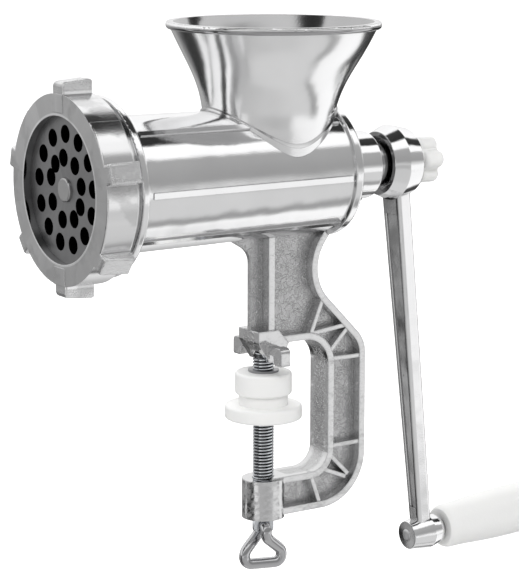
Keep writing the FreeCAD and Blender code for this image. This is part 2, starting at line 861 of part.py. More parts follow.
def make_clips():
    """Two spring rings in grooves of the screw, above and below the pad."""
    rings = []
    for height in (pad_top + clip_wire + seat_gap, pad_bottom - clip_wire - seat_gap):
        ring = Part.makeCylinder(clip_radius, 2 * clip_wire, Vec(0, 0, height - clip_wire), Z_AXIS)
        bore = Part.makeCylinder(screw_radius + seat_gap, 4, Vec(0, 0, height - 2), Z_AXIS)
        gap = Part.makeBox(clip_radius * 2, 3.0, 4, Vec(0, -1.5, height - 2))
        rings.append(ring.cut([bore, gap]))
    return Part.makeCompound(rings)


def loop_axes():
    turn = math.radians(loop_turn)
    return Vec(math.cos(turn), math.sin(turn), 0), Vec(-math.sin(turn), math.cos(turn), 0)


def make_clamp_screw():
    """Clamp screw: round bar, ending in a flat tab with a cross hole for the loop."""
    body = turned([
        (screw_end, 0, 0),
        (screw_end, screw_radius, 1.4),
        (screw_top, screw_radius, 1.0),
        (screw_top, 0, 0),
    ], Vec(0, 0, 0), Z_AXIS)
    across = loop_axes()[1]
    tab_top = loop_hole_height + 4.0
    cuts = []
    for side in (-1, 1):
        slab = Part.makeBox(20, 10, tab_top - screw_end + 1, Vec(-10, tab_half if side > 0 else -10 - tab_half,
                                                                 screw_end - 1))
        slab.rotate(Vec(0, 0, 0), Z_AXIS, loop_turn)
        cuts.append(slab)
    hole = Part.makeCylinder(loop_wire_radius + 0.1, 20, across * -10 + Vec(0, 0, loop_hole_height), across)
    return tidy(body.cut(cuts + [hole]))


def make_loop():
    """Bent-wire loop: both ends hook into the cross hole, one from each side of the tab."""
    along, across = loop_axes()
    stand = tab_half + face_gap + loop_elbow
    half = [
        (0.0, -face_gap / 2, 0.0, 0),
        (0.0, -stand, 0.0, loop_elbow),
        (0.0, -stand, loop_leg_share, loop_knee),
        (loop_half_width, 0.0, loop_side_share, loop_knee),
        (loop_half_width, 0.0, 1.0, loop_corner),
    ]
    half += [(-u, -v, share, rounding) for u, v, share, rounding in reversed(half)]
    corners = []
    for u, v, share, rounding in half:
        point = along * u + across * v + Vec(0, 0, loop_hole_height - loop_drop * share)
        corners.append((point, rounding))
    circle = Part.Wire(Part.makeCircle(loop_wire_radius, corners[0][0], across * -1))
    return rounded_wire(corners, False).makePipeShell([circle], True, False)


outside = barrel_outside()
pieces = {
    "barrel": make_barrel(outside),
    "hopper": make_hopper(outside),
    "clamp_frame": make_clamp_frame(outside),
    "rear_bush": make_rear_bush(),
    "thrust_washer": make_thrust_washer(),
    "plate_key": key_pin(key_radius),
    "ring_nut": make_ring_nut(),
    "hole_plate": make_plate(),
    "knife": make_knife(),
    "auger": make_auger(),
    "auger_stud": make_stud(),
    "shaft_collar": make_shaft_collar(),
    "crank_arm": make_crank(),
    "grip_pin": make_grip_pin(),
    "grip": make_grip(),
    "thumb_washer": make_washer(),
    "thumb_knob": make_knob(),
    "thumb_stud": make_knob_stud(),
    "clamp_pad": make_pad(),
    "pad_clips": make_clips(),
    "clamp_screw": make_clamp_screw(),
    "loop_handle": make_loop(),
}

for name, shape in pieces.items():
    shape.exportStep("parts/" + name + ".step")
    box = shape.BoundBox
    print(name, "valid", shape.isValid(), "solids", len(shape.Solids), "volume", round(shape.Volume),
          "x", round(box.XMin, 1), round(box.XMax, 1), "y", round(box.YMin, 1), round(box.YMax, 1),
          "z", round(box.ZMin, 1), round(box.ZMax, 1))
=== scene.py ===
import math

import bpy
from mathutils import Matrix, Vector


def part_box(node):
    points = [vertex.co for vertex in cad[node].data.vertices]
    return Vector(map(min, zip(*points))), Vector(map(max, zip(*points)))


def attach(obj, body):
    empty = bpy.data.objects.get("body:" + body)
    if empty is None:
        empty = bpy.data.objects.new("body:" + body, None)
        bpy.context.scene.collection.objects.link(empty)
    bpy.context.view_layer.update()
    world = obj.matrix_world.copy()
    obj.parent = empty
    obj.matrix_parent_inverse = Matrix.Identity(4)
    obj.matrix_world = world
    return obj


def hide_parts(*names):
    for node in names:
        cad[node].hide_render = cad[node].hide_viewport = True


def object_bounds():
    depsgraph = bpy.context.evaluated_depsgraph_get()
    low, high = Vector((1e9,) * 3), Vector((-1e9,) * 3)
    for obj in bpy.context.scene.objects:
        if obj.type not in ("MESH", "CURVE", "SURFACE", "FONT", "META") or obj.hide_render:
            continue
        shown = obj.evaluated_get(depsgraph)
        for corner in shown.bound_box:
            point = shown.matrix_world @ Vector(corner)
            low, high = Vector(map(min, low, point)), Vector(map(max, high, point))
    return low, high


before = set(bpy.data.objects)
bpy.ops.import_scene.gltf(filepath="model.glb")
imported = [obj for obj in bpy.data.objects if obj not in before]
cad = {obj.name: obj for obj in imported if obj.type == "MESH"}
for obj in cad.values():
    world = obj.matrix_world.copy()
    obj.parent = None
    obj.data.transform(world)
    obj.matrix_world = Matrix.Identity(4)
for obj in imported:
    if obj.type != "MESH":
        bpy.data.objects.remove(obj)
cad_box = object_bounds()

# Camera
# A long lens on a stand, looking at the outlet side from a little above the barrel.
CAMERA_PLACE = Vector((-0.5751, -0.8623, 0.2273))
CAMERA_AIM = Vector((0.5442, 0.8193, -0.1824))
CAMERA_ROLL = math.radians(0.15)
CAMERA_REACH = 100
LENS_MM = 142.7
FILM_MM = 36

camera_data = bpy.data.cameras.new("camera")
camera_data.lens = LENS_MM
camera_data.sensor_width = FILM_MM
camera_data.clip_end = CAMERA_REACH
camera = bpy.data.objects.new("camera", camera_data)
bpy.context.scene.collection.objects.link(camera)
turn = CAMERA_AIM.to_track_quat("-Z", "Y") @ Matrix.Rotation(CAMERA_ROLL, 4, "Z").to_quaternion()
camera.matrix_world = Matrix.LocRotScale(CAMERA_PLACE, turn, None)
bpy.context.scene.camera = camera


# Studio floor and light
# A wide pale sheet under the grinder, in a tent of white panels with dark gaps between them. The
# panels give polished metal its bands: a row of long ones over the barrel, a row of upright ones
# round it, and a row under the horizon. The lamps light the sheet and the plastic.
FLOOR_SIZE = 14.0
FLOOR_DROP = 0.06               # room for the clamp screw when it is wound down
FLOOR_COLOUR = (0.80, 0.80, 0.80, 1)
FLOOR_LIFT = 0.62               # makes the sheet white for the camera alone
WHITE = (1, 1, 1, 1)
LONG_PANELS = (                 # angle over the barrel from back to front, brightness
    (-180, 0.42),
    (-168, 0.14),
    (-118, 0.10),
    (-98, 0.50),
    (-90, 0.85),
    (-66, 1.05),
    (-21, 1.15),
    (-14, 0.05),
    (14, 0.03),
    (20, 1.20),
    (40, 1.15),
    (48, 0.42),
    (84, 0.37),
    (98, 0.74),
    (144, 0.74),
    (156, 0.34),
    (180, 0.42),
)
UPRIGHT_PANELS = (              # bearing from the front towards the crank, brightness
    (-180, 0.42),
    (-152, 0.42),
    (-130, 0.36),
    (-106, 0.34),
    (-98, 0.04),
    (-86, 0.04),
    (-79, 1.05),
    (-62, 1.00),
    (-50, 0.56),
    (-10, 0.50),
    (12, 0.56),
    (24, 1.00),
    (90, 1.10),
    (99, 0.05),
    (150, 0.04),
    (163, 0.42),
    (180, 0.42),
)
LOW_PANELS = (                  # the same, for the row that leans out under the horizon
    (-180, 0.22),
    (-168, 0.04),
    (-150, 0.03),
    (-144, 1.00),
    (-138, 1.00),
    (-132, 0.03),
    (-104, 0.04),
    (-90, 0.44),
    (-60, 0.56),
    (-20, 0.62),
    (30, 0.70),
    (47, 0.70),
    (54, 0.36),
    (60, 0.40),
    (67, 1.05),
    (98, 1.10),
    (106, 0.08),
    (122, 0.05),
    (130, 0.85),
    (150, 0.45),
    (180, 0.22),
)
UPRIGHT_RISE = (-0.06, -0.13)   # rise of the view at which the long panels fade into the upright ones
LOW_RISE = (-0.24, -0.32)       # these into the low ones
UNDER_RISE = (-0.80, -0.90)     # and these into the even grey straight under the grinder
UNDER_LEVEL = 0.70
LAMP_SIZE = (1.6, 1.0)
LAMP_AIM = Vector((0.05, 0, 0.02))
LAMPS = (                       # name, place, watts
    ("front_panel", Vector((-0.7, -1.5, 1.5)), 20),
    ("back_panel", Vector((0.5, 1.4, 1.6)), 11),
)


def put(tree, socket, value):
    """Sets an input to a number, a vector or a colour, or links it to another node's output."""
    if hasattr(value, "is_linked"):
        tree.links.new(value, socket)
    else:
        socket.default_value = value


def node(tree, kind, **values):
    """New node, with its settings and inputs by name; in an input's name _ stands for a space."""
    made = tree.nodes.new(kind)
    for key, value in values.items():
        if hasattr(made, key):
            setattr(made, key, value)
        else:
            put(tree, made.inputs[key.replace("_", " ")], value)
    return made


def maths(tree, operation, *values):
    """Math node on numbers or outputs; returns its output."""
    made = node(tree, "ShaderNodeMath", operation=operation)
    for socket, value in zip(made.inputs, values):
        put(tree, socket, value)
    return made.outputs[0]


def times(tree, first, *others):
    """Product of an output and others, or numbers."""
    for other in others:
        first = maths(tree, "MULTIPLY", first, other)
    return first


def between(tree, share, start, end):
    """The number start where share is 0, and end where it is 1."""
    return maths(tree, "MULTIPLY_ADD", share, end - start, start)


def smooth_step(tree, value, low, high):
    """0 up to low and 1 from high on, softly; low may be the larger, and then small values give 1."""
    rising = low < high
    return node(
        tree,
        "ShaderNodeMapRange",
        interpolation_type="SMOOTHSTEP",
        Value=value,
        From_Min=min(low, high),
        From_Max=max(low, high),
        To_Min=0.0 if rising else 1.0,
        To_Max=1.0 if rising else 0.0,
    ).outputs["Result"]


def axes(tree, vector):
    """A vector's X, Y and Z."""
    return node(tree, "ShaderNodeSeparateXYZ", Vector=vector).outputs


def blend(tree, share, first, second):
    """The colour first where share is 0, and second where it is 1."""
    mix = node(tree, "ShaderNodeMix", data_type="RGBA", Factor=share, A=first, B=second)
    return mix.outputs["Result"]


def panels(tree, angle, stops, top):
    """Brightness of a row of panels at an angle, as a share of the brightest."""
    ramp = node(tree, "ShaderNodeValToRGB", Fac=maths(tree, "MULTIPLY_ADD", angle, 0.5 / math.pi, 0.5))
    band = ramp.color_ramp
    band.interpolation = "EASE"
    while len(band.elements) < len(stops):
        band.elements.new(0.5)
    for element, (degrees, level) in zip(band.elements, stops):
        element.position = degrees / 360 + 0.5
        element.color = (level / top, level / top, level / top, 1)
    return ramp.outputs["Color"]


def world_light():
    """The tent, chosen by the direction of the view; the camera itself sees plain white."""
    world = bpy.data.worlds.new("tent")
    bpy.context.scene.world = world
    world.use_nodes = True
    tree = world.node_tree
    tree.nodes.clear()
    view = axes(tree, node(tree, "ShaderNodeTexCoord").outputs["Generated"])
    rise = view["Z"]
    front = times(tree, view["Y"], -1.0)
    over = maths(tree, "ARCTAN2", front, rise)
    bearing = maths(tree, "ARCTAN2", view["X"], front)
    top = max(level for _, level in LONG_PANELS + UPRIGHT_PANELS + LOW_PANELS)
    under = UNDER_LEVEL / top
    rows = (
        (UPRIGHT_RISE, panels(tree, bearing, UPRIGHT_PANELS, top)),
        (LOW_RISE, panels(tree, bearing, LOW_PANELS, top)),
        (UNDER_RISE, (under, under, under, 1)),
    )
    level = panels(tree, over, LONG_PANELS, top)
    for step, row in rows:
        level = blend(tree, smooth_step(tree, rise, *step), level, row)
    tent = node(tree, "ShaderNodeBackground", Color=level, Strength=top)
    white = node(tree, "ShaderNodeBackground", Color=WHITE)
    seen = node(tree, "ShaderNodeMixShader")
    put(tree, seen.inputs[0], node(tree, "ShaderNodeLightPath").outputs["Is Camera Ray"])
    put(tree, seen.inputs[1], tent.outputs[0])
    put(tree, seen.inputs[2], white.outputs[0])
    node(tree, "ShaderNodeOutputWorld", Surface=seen.outputs[0])


def make_floor():
    """The sheet keeps the shadow; polished metal sees the tent's low row in its place."""
    bpy.ops.object.select_all(action="DESELECT")
    bpy.ops.mesh.primitive_plane_add(size=FLOOR_SIZE, location=(0, 0, cad_box[0][2] - FLOOR_DROP))
    floor = bpy.context.object
    floor.name = "studio_floor"
    bpy.ops.object.transform_apply(location=True, rotation=False, scale=False)
    paper = bpy.data.materials.new("floor_paper")
    paper.use_nodes = True
    tree = paper.node_tree
    tree.nodes.clear()
    sheet = node(tree, "ShaderNodeBsdfDiffuse", Color=FLOOR_COLOUR)
    seen = node(tree, "ShaderNodeLightPath").outputs["Is Camera Ray"]
    glow = node(tree, "ShaderNodeEmission", Strength=times(tree, seen, FLOOR_LIFT))
    both = node(tree, "ShaderNodeAddShader")
    put(tree, both.inputs[0], sheet.outputs[0])
    put(tree, both.inputs[1], glow.outputs[0])
    node(tree, "ShaderNodeOutputMaterial", Surface=both.outputs[0])
    floor.data.materials.append(paper)
    floor.visible_glossy = False


def make_lamp(name, place, watts):
    data = bpy.data.lights.new(name, "AREA")
    data.shape = "RECTANGLE"
    data.size, data.size_y = LAMP_SIZE
    data.energy = watts
    lamp = bpy.data.objects.new(name, data)
    bpy.context.scene.collection.objects.link(lamp)
    turn = (LAMP_AIM - place).to_track_quat("-Z", "Y")
    lamp.matrix_world = Matrix.LocRotScale(place, turn, None)
    lamp.visible_glossy = False
    lamp.visible_camera = False


bpy.context.scene.view_settings.view_transform = "Standard"
world_light()
make_floor()
for name, place, watts in LAMPS:
    make_lamp(name, place, watts)


# Casting: barrel, hopper and column
# One aluminium casting, tumbled and polished outside, with painted shade in its corners. Painted
# shade darkens the hopper's inside. The column's web keeps the wrinkled skin that it had from the
# mould; its ribs and flanges are bright.
MM = 0.001
CAST_COLOUR = (0.88, 0.88, 0.885, 1)
BARREL_ROUGHNESS = 0.08
HOPPER_ROUGHNESS = 0.15
WEB_ROUGHNESS = 0.19
FLANGE_ROUGHNESS = 0.10
WEB_TONE = 0.66
FLANGE_TONE = 0.78
INSIDE_SHADE = 0.5
# darkest shares left by painted shade in corners, on the casting and on the column:
CORNER_SHADE = 0.5
COLUMN_CORNER_SHADE = 0.8
HOPPER_CENTRE = (5.1 * MM, 0, 157.6 * MM)
INSIDE_STEP = (2.0 * MM, -6.0 * MM)     # how far a face looks away from the hopper's centre
WEB_DEPTH = (5.4 * MM, 2.6 * MM)        # the web lies this close to the column's middle plane
BOSS_FRONT = (9.8 * MM, 11.0 * MM)      # the screw's boss, which is polished as the flanges are
BOSS_TOP = (6.0 * MM, 9.0 * MM)
EDGE_ROUND = 0.3 * MM
RIB_ROUND = 0.9 * MM
CREVICE_REACH = 2.5 * MM
CREVICE_STEP = (0.35, 0.85)             # open share of the sky over a point, from corner to face
SQUARE_STEP = (0.7, 0.95)
WRINKLE_SCALE = 190.0
WRINKLE_FOLDS = 9.0                     # contour lines that one swell of the skin is cut into
WRINKLE_BEND = 0.8
WRINKLE_STEP = (0.16, 0.0)
WRINKLE_HEIGHT = 0.6
WRINKLE_TONE = 0.35
GRAIN_SCALE = 1500.0
GRAIN_ROUGHNESS = 0.3
CLOUD_SCALE = 45.0
CLOUD_TONE = 0.5
PIT_SCALE = 130.0
PIT_STEP = (0.09, 0.03)
PIT_CHOICE = (0.80, 0.84)               # one cell in five has a pit
PIT_HEIGHT = -1.5
PIT_TONE = 0.25
WAVE_SCALE = 38.0
WAVE_DEPTH = 1.0 * MM
HAZE = 0.06
POLISHED_SKIN = 0.07                    # share of the skin's height that polishing leaves
FLANGE_SKIN = 0.05
WEB_SKIN = 0.80
COLUMN_WAVE_SCALE = 80.0
COLUMN_WAVE = 2.6
COLUMN_DEPTH = 0.3 * MM


def new_group(name, inputs, outputs):
    """Node group with a vector and number inputs; inputs are (name, default) pairs."""
    group = bpy.data.node_groups.new(name, "ShaderNodeTree")
    group.interface.new_socket("Vector", in_out="INPUT", socket_type="NodeSocketVector")
    for label, default in inputs:
        socket = group.interface.new_socket(label, in_out="INPUT", socket_type="NodeSocketFloat")
        socket.default_value = default
    for label in outputs:
        group.interface.new_socket(label, in_out="OUTPUT", socket_type="NodeSocketFloat")
    given = node(group, "NodeGroupInput").outputs
    return group, given, node(group, "NodeGroupOutput").inputs


def grouped(tree, group, place, **values):
    """A group's outputs, at a place and with its numbers by name."""
    made = tree.nodes.new("ShaderNodeGroup")
    made.node_tree = group
    put(tree, made.inputs["Vector"], place)
    for label, value in values.items():
        made.inputs[label].default_value = value
    return made.outputs


def noise(tree, place, scale, detail=2.0, distortion=0.0):
    """Soft noise, from 0 to 1."""
    cloud = node(
        tree,
        "ShaderNodeTexNoise",
        Vector=place,
        Scale=scale,
        Detail=detail,
        Distortion=distortion,
    )
    return cloud.outputs[0]


def swing(tree, place, scale, detail, strength):
    """Noise round zero, times a strength."""
    return times(tree, maths(tree, "SUBTRACT", noise(tree, place, scale, detail), 0.5), strength)


def casting_skin_group():
    """Wrinkles, grain and pits of cast metal: a height, a darkening and an added roughness."""
    group, given, out = new_group(
        "casting_skin",
        [("Wrinkle", 0.0), ("Grain", 0.3), ("Pits", 0.3)],
        ["Height", "Tone", "Roughness"],
    )
    place = given["Vector"]
    folds = noise(group, place, WRINKLE_SCALE, distortion=WRINKLE_BEND)
    lines = maths(group, "FRACT", times(group, folds, WRINKLE_FOLDS))
    lines = maths(group, "ABSOLUTE", maths(group, "SUBTRACT", lines, 0.5))
    lines = times(group, smooth_step(group, lines, *WRINKLE_STEP), given["Wrinkle"])
    grain = swing(group, place, GRAIN_SCALE, 3.0, given["Grain"])
    cells = node(group, "ShaderNodeTexVoronoi", Vector=place, Scale=PIT_SCALE).outputs
    dots = smooth_step(group, cells["Distance"], *PIT_STEP)
    chosen = smooth_step(group, axes(group, cells["Color"])["X"], *PIT_CHOICE)
    pits = times(group, dots, chosen, given["Pits"])
    height = maths(group, "MULTIPLY_ADD", lines, WRINKLE_HEIGHT, grain)
    put(group, out["Height"], maths(group, "MULTIPLY_ADD", pits, PIT_HEIGHT, height))
    tone = between(group, pits, 1.0, PIT_TONE)
    tone = maths(group, "MULTIPLY_ADD", lines, WRINKLE_TONE, tone)
    cloud = swing(group, place, CLOUD_SCALE, 3.0, given["Grain"])
    put(group, out["Tone"], maths(group, "MULTIPLY_ADD", cloud, CLOUD_TONE, tone))
    put(group, out["Roughness"], times(group, maths(group, "ABSOLUTE", grain), GRAIN_ROUGHNESS))
    return group


def new_finish(name, colour, metallic, roughness):
    """Material with a Principled shader; returns the material, its tree, shader and place vector."""
    finish = bpy.data.materials.new(name)
    finish.use_nodes = True
    tree = finish.node_tree
    shader = next(n for n in tree.nodes if n.type == "BSDF_PRINCIPLED")
    shader.inputs["Base Color"].default_value = colour
    shader.inputs["Metallic"].default_value = metallic
    shader.inputs["Roughness"].default_value = roughness
    place = node(tree, "ShaderNodeTexCoord").outputs["Object"]
    return finish, tree, shader, place


def toned(tree, shader, colour, tone):
    """Base colour times a tone that varies over the surface."""
    mix = node(
        tree,
        "ShaderNodeMix",
        data_type="RGBA",
        blend_type="MULTIPLY",
        Factor=1.0,
        A=colour,
        B=tone,
    )
    put(tree, shader.inputs["Base Color"], mix.outputs["Result"])


def bumped(tree, shader, height, depth, rounding=EDGE_ROUND):
    """Relief over softly rounded edges."""
    bump = node(tree, "ShaderNodeBump", Strength=1.0, Distance=depth, Height=height)
    if rounding:
        edges = node(tree, "ShaderNodeBevel", samples=4, Radius=rounding)
        put(tree, bump.inputs["Normal"], edges.outputs[0])
    put(tree, shader.inputs["Normal"], bump.outputs[0])


def painted_crevice_shade(tree, least, reach=CREVICE_REACH):
    """Painted shade: 1 on open faces, falling to least in corners and grooves."""
    sky = node(tree, "ShaderNodeAmbientOcclusion", samples=4, Distance=reach)
    return between(tree, smooth_step(tree, sky.outputs["AO"], *CREVICE_STEP), least, 1.0)


def square_on(tree):
    """1 on faces square to the barrel's axis, 0 on the others."""
    facing = axes(tree, node(tree, "ShaderNodeNewGeometry").outputs["Normal"])
    return smooth_step(tree, maths(tree, "ABSOLUTE", facing["X"]), *SQUARE_STEP)


def cast_finish(name, roughness, wave, grain, pits, shade=None):
    """Polished casting; slow waves bend its reflections. Painted shade darkens corners, and the shade
    function a part.
    """
    finish, tree, shader, place = new_finish(name, CAST_COLOUR, 1.0, roughness)
    skin = grouped(tree, casting_skin, place, Wrinkle=0.0, Grain=grain, Pits=pits)
    slow = noise(tree, place, WAVE_SCALE)
    # painted shade in corners and grooves
    tone = times(tree, skin["Tone"], painted_crevice_shade(tree, CORNER_SHADE))
    if shade:
        tone = times(tree, tone, shade(tree, place))
    toned(tree, shader, CAST_COLOUR, tone)
    haze = between(tree, slow, roughness - HAZE / 2, roughness + HAZE / 2)
    put(tree, shader.inputs["Roughness"], maths(tree, "ADD", haze, skin["Roughness"]))
    height = maths(tree, "MULTIPLY_ADD", slow, wave, times(tree, skin["Height"], POLISHED_SKIN))
    bumped(tree, shader, height, WAVE_DEPTH)
    return finish


def painted_inside_shade(tree, place):
    """Painted shade: darkens the hopper's inside, where faces look towards its centre."""
    arm = node(tree, "ShaderNodeVectorMath", operation="SUBTRACT")
    put(tree, arm.inputs[0], place)
    put(tree, arm.inputs[1], HOPPER_CENTRE)
    outward = node(tree, "ShaderNodeVectorMath", operation="DOT_PRODUCT")
    put(tree, outward.inputs[0], arm.outputs[0])
    put(tree, outward.inputs[1], node(tree, "ShaderNodeNewGeometry").outputs["Normal"])
    return between(tree, smooth_step(tree, outward.outputs["Value"], *INSIDE_STEP), 1.0, INSIDE_SHADE)


def column_finish():
    """Bright flanges and ribs, and a grey wrinkled web between them, with painted shade in their corners.
    """
    finish, tree, shader, place = new_finish("column_casting", CAST_COLOUR, 1.0, WEB_ROUGHNESS)
    skin = grouped(tree, casting_skin, place, Wrinkle=1.0, Grain=0.8, Pits=0.8)
    where = axes(tree, place)
    behind = smooth_step(tree, where["X"], *BOSS_FRONT)
    above = smooth_step(tree, where["Z"], *BOSS_TOP)
    web = smooth_step(tree, maths(tree, "ABSOLUTE", where["Y"]), *WEB_DEPTH)
    web = times(tree, web, maths(tree, "MAXIMUM", behind, above))
    # painted shade in the column's corners
    level = times(tree, between(tree, web, FLANGE_TONE, WEB_TONE), painted_crevice_shade(tree, COLUMN_CORNER_SHADE))
    strength = between(tree, web, FLANGE_SKIN, WEB_SKIN)
    mottle = maths(tree, "MULTIPLY_ADD", maths(tree, "SUBTRACT", skin["Tone"], 1.0), strength, 1.0)
    toned(tree, shader, CAST_COLOUR, times(tree, level, mottle))
    rough = between(tree, web, FLANGE_ROUGHNESS, WEB_ROUGHNESS)
    put(tree, shader.inputs["Roughness"], maths(tree, "ADD", rough, skin["Roughness"]))
    slow = noise(tree, place, COLUMN_WAVE_SCALE, 3.0)
    height = maths(tree, "MULTIPLY_ADD", slow, COLUMN_WAVE, times(tree, skin["Height"], strength))
    bumped(tree, shader, height, COLUMN_DEPTH, RIB_ROUND)
    return finish


def wear(name, finish):
    """Gives a CAD piece its finish."""
    materials = cad[name].data.materials
    materials.clear()
    materials.append(finish)


casting_skin = casting_skin_group()
wear("barrel", cast_finish("barrel_casting", BARREL_ROUGHNESS, wave=0.5, grain=0.25, pits=0.15))
wear("hopper", cast_finish(
    "hopper_casting",
    HOPPER_ROUGHNESS,
    wave=0.5,
    grain=0.25,
    pits=0.1,
    shade=painted_inside_shade,
))
wear("clamp_frame", column_finish())


# Hopper's rim
# The cone ends in a round bead, painted darker than the casting as painted shade, so it shows as a darker
# line under the bright edge.
RIM_BEAD = 1.65 * MM
RIM_SHADED_COLOUR = (0.42, 0.42, 0.425, 1)
STEEL_RELIEF = 0.04 * MM
GROOVE_REACH = 1.2 * MM


def steel_finish(name, colour, roughness, grain=0.3, grooves=1.0):
    """Plain machined metal; grooves is how bright painted shade leaves its narrow grooves."""
    finish, tree, shader, place = new_finish(name, colour, 1.0, roughness)
    skin = grouped(tree, casting_skin, place, Wrinkle=0.0, Grain=grain, Pits=0.1)
    tone = skin["Tone"]
    if grooves < 1.0:
        tone = times(tree, tone, painted_crevice_shade(tree, grooves, GROOVE_REACH))
    toned(tree, shader, colour, tone)
    put(tree, shader.inputs["Roughness"], maths(tree, "ADD", skin["Roughness"], roughness))
    bumped(tree, shader, skin["Height"], STEEL_RELIEF)
    return finish


low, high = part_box("hopper")
mouth_radius = (high[1] - low[1]) / 2
bpy.ops.object.select_all(action="DESELECT")
bpy.ops.mesh.primitive_torus_add(
    major_segments=160,
    minor_segments=24,
    major_radius=mouth_radius - RIM_BEAD,
    minor_radius=RIM_BEAD,
    location=(high[0] - mouth_radius, 0, high[2] - RIM_BEAD),
)
rim = bpy.context.object
rim.name = "hopper_rim_bead"
bpy.ops.object.shade_smooth()
bpy.ops.object.transform_apply(location=True, rotation=False, scale=False)
rim.data.materials.append(steel_finish("rim_painted_dark", RIM_SHADED_COLOUR, roughness=0.08))
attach(rim, "frame")


# Ring nut
# A cast ring with six lugs, turned on its front face and round its rim, and screwed over the
# barrel's mouth. The lugs' ends keep their casting skin.
BARREL_AXIS = 88.0 * MM
RING_COLOUR = (0.86, 0.86, 0.865, 1)
RING_CORNER_SHADE = 0.6
FRONT_TONE = 0.72
FRONT_ROUGHNESS = 0.31
RIM_ROUGHNESS = 0.11
TURNED_PITCH = 0.35 * MM
RING_RELIEF = 0.25 * MM
LINES_HEIGHT = 0.08
LUG_STEP = (43.3 * MM, 44.0 * MM)
LUG_ROUGHNESS = 0.12                    # added on the lugs, as their skin's height is
RIM_SKIN = 0.04
LUG_SKIN = 1.34
OPENING_LIP = (33.9 * MM, 33.3 * MM)    # painted highlight along the opening's edge
LIP_HIGHLIGHT = 1.45
OPENING_WALL = (33.6 * MM, 33.2 * MM)   # painted shadow inside the opening
WALL_SHADOW = 0.35
PATCH_SCALE = 55.0
PATCH_STEP = (0.52, 0.62)
PATCH_TONE = 0.84
PATCH_ROUGHNESS = 0.08
PATCH_SKIN = 0.16
RAY_SCALE = 2.6
RAY_SHEEN = (0.76, 1.06)
RAY_BEND = 1.5                          # how far the rays push the sectors' edges about
WEDGES = 2.3                            # sectors of painted sheen to a radian
WEDGE_SHEEN = 0.14


def round_barrel(tree, place):
    """Radius and angle round the barrel's axis."""
    where = axes(tree, place)
    up = maths(tree, "SUBTRACT", where["Z"], BARREL_AXIS)
    across = where["Y"]
    squares = maths(tree, "ADD", maths(tree, "POWER", up, 2.0), maths(tree, "POWER", across, 2.0))
    return maths(tree, "SQRT", squares), maths(tree, "ARCTAN2", across, up)


def turned_lines_and_sheen_group():
    """Fine rings round the barrel's axis, and faint sectors of painted sheen across them."""
    group, given, out = new_group("turned_lines_and_sheen", [("Pitch", TURNED_PITCH)], ["Height", "Tone"])
    radius, angle = round_barrel(group, given["Vector"])
    count = maths(group, "DIVIDE", radius, given["Pitch"])
    rings = node(group, "ShaderNodeTexNoise", noise_dimensions="1D", W=count, Scale=1.0, Detail=1.0)
    put(group, out["Height"], rings.outputs[0])
    rays = node(group, "ShaderNodeTexNoise", noise_dimensions="1D", W=angle, Scale=RAY_SCALE, Detail=3.0)
    turned = maths(group, "MULTIPLY_ADD", rays.outputs[0], RAY_BEND, times(group, angle, WEDGES))
    wedge = node(group, "ShaderNodeTexWhiteNoise", noise_dimensions="1D", W=maths(group, "FLOOR", turned))
    # painted sheen: rays and sectors of light and dark, as a turned face catches light
    tone = between(group, rays.outputs[0], *RAY_SHEEN)
    put(group, out["Tone"], maths(group, "MULTIPLY_ADD", wedge.outputs[0], WEDGE_SHEEN, tone))
    return group


def ring_finish():
    """Turned front, bright rim with smeared patches, cast lugs; painted highlight and shadow at the
    opening, painted shade in corners.
    """
    finish, tree, shader, place = new_finish("turned_ring", RING_COLOUR, 1.0, FRONT_ROUGHNESS)
    rings = grouped(tree, turned_lines_and_sheen, place, Pitch=TURNED_PITCH)
    skin = grouped(tree, casting_skin, place, Wrinkle=0.0, Grain=0.9, Pits=0.2)
    radius, _ = round_barrel(tree, place)
    front = square_on(tree)
    sides = maths(tree, "SUBTRACT", 1.0, front)
    lug = smooth_step(tree, radius, *LUG_STEP)
    lip_highlight = times(tree, smooth_step(tree, radius, *OPENING_LIP), front)
    wall_shadow = times(tree, smooth_step(tree, radius, *OPENING_WALL), sides)
    patch = smooth_step(tree, noise(tree, place, PATCH_SCALE, 5.0), *PATCH_STEP)
    # the tone carries painted shade in corners, a painted highlight round the opening and painted shadow
    # inside it
    tone = times(
        tree,
        rings["Tone"],
        between(tree, patch, 1.0, PATCH_TONE),
        painted_crevice_shade(tree, RING_CORNER_SHADE),
        between(tree, front, 1.0, FRONT_TONE),
        between(tree, lip_highlight, 1.0, LIP_HIGHLIGHT),
        between(tree, wall_shadow, 1.0, WALL_SHADOW),
    )
    toned(tree, shader, RING_COLOUR, tone)
    rough = between(tree, front, RIM_ROUGHNESS, FRONT_ROUGHNESS)
    rough = maths(tree, "MULTIPLY_ADD", lug, LUG_ROUGHNESS, rough)
    rough = maths(tree, "MULTIPLY_ADD", patch, PATCH_ROUGHNESS, rough)
    put(tree, shader.inputs["Roughness"], rough)
    cast = maths(tree, "MULTIPLY_ADD", patch, PATCH_SKIN, between(tree, lug, RIM_SKIN, LUG_SKIN))
    height = times(tree, rings["Height"], times(tree, front, LINES_HEIGHT))
    height = maths(tree, "ADD", height, times(tree, skin["Height"], cast))
    bumped(tree, shader, height, RING_RELIEF)
    return finish


turned_lines_and_sheen = turned_lines_and_sheen_group()
wear("ring_nut", ring_finish())


# Cutting set: hole plate, knife, stud, locating pin
# Hardened steel, ground flat. Painted shade makes the plate's holes dark inside, and the stud's end
# shows brighter in its middle.
STEEL_COLOUR = (0.56, 0.56, 0.565, 1)
STEEL_ROUGHNESS = 0.30
PLATE_COLOUR = (0.30, 0.30, 0.305, 1)
PLATE_ROUGHNESS = 0.42
PLATE_PITCH = 0.3 * MM
PLATE_RELIEF = 0.01 * MM
HOLE_SHADE = 0.04
STUD_COLOUR = (0.50, 0.50, 0.50, 1)


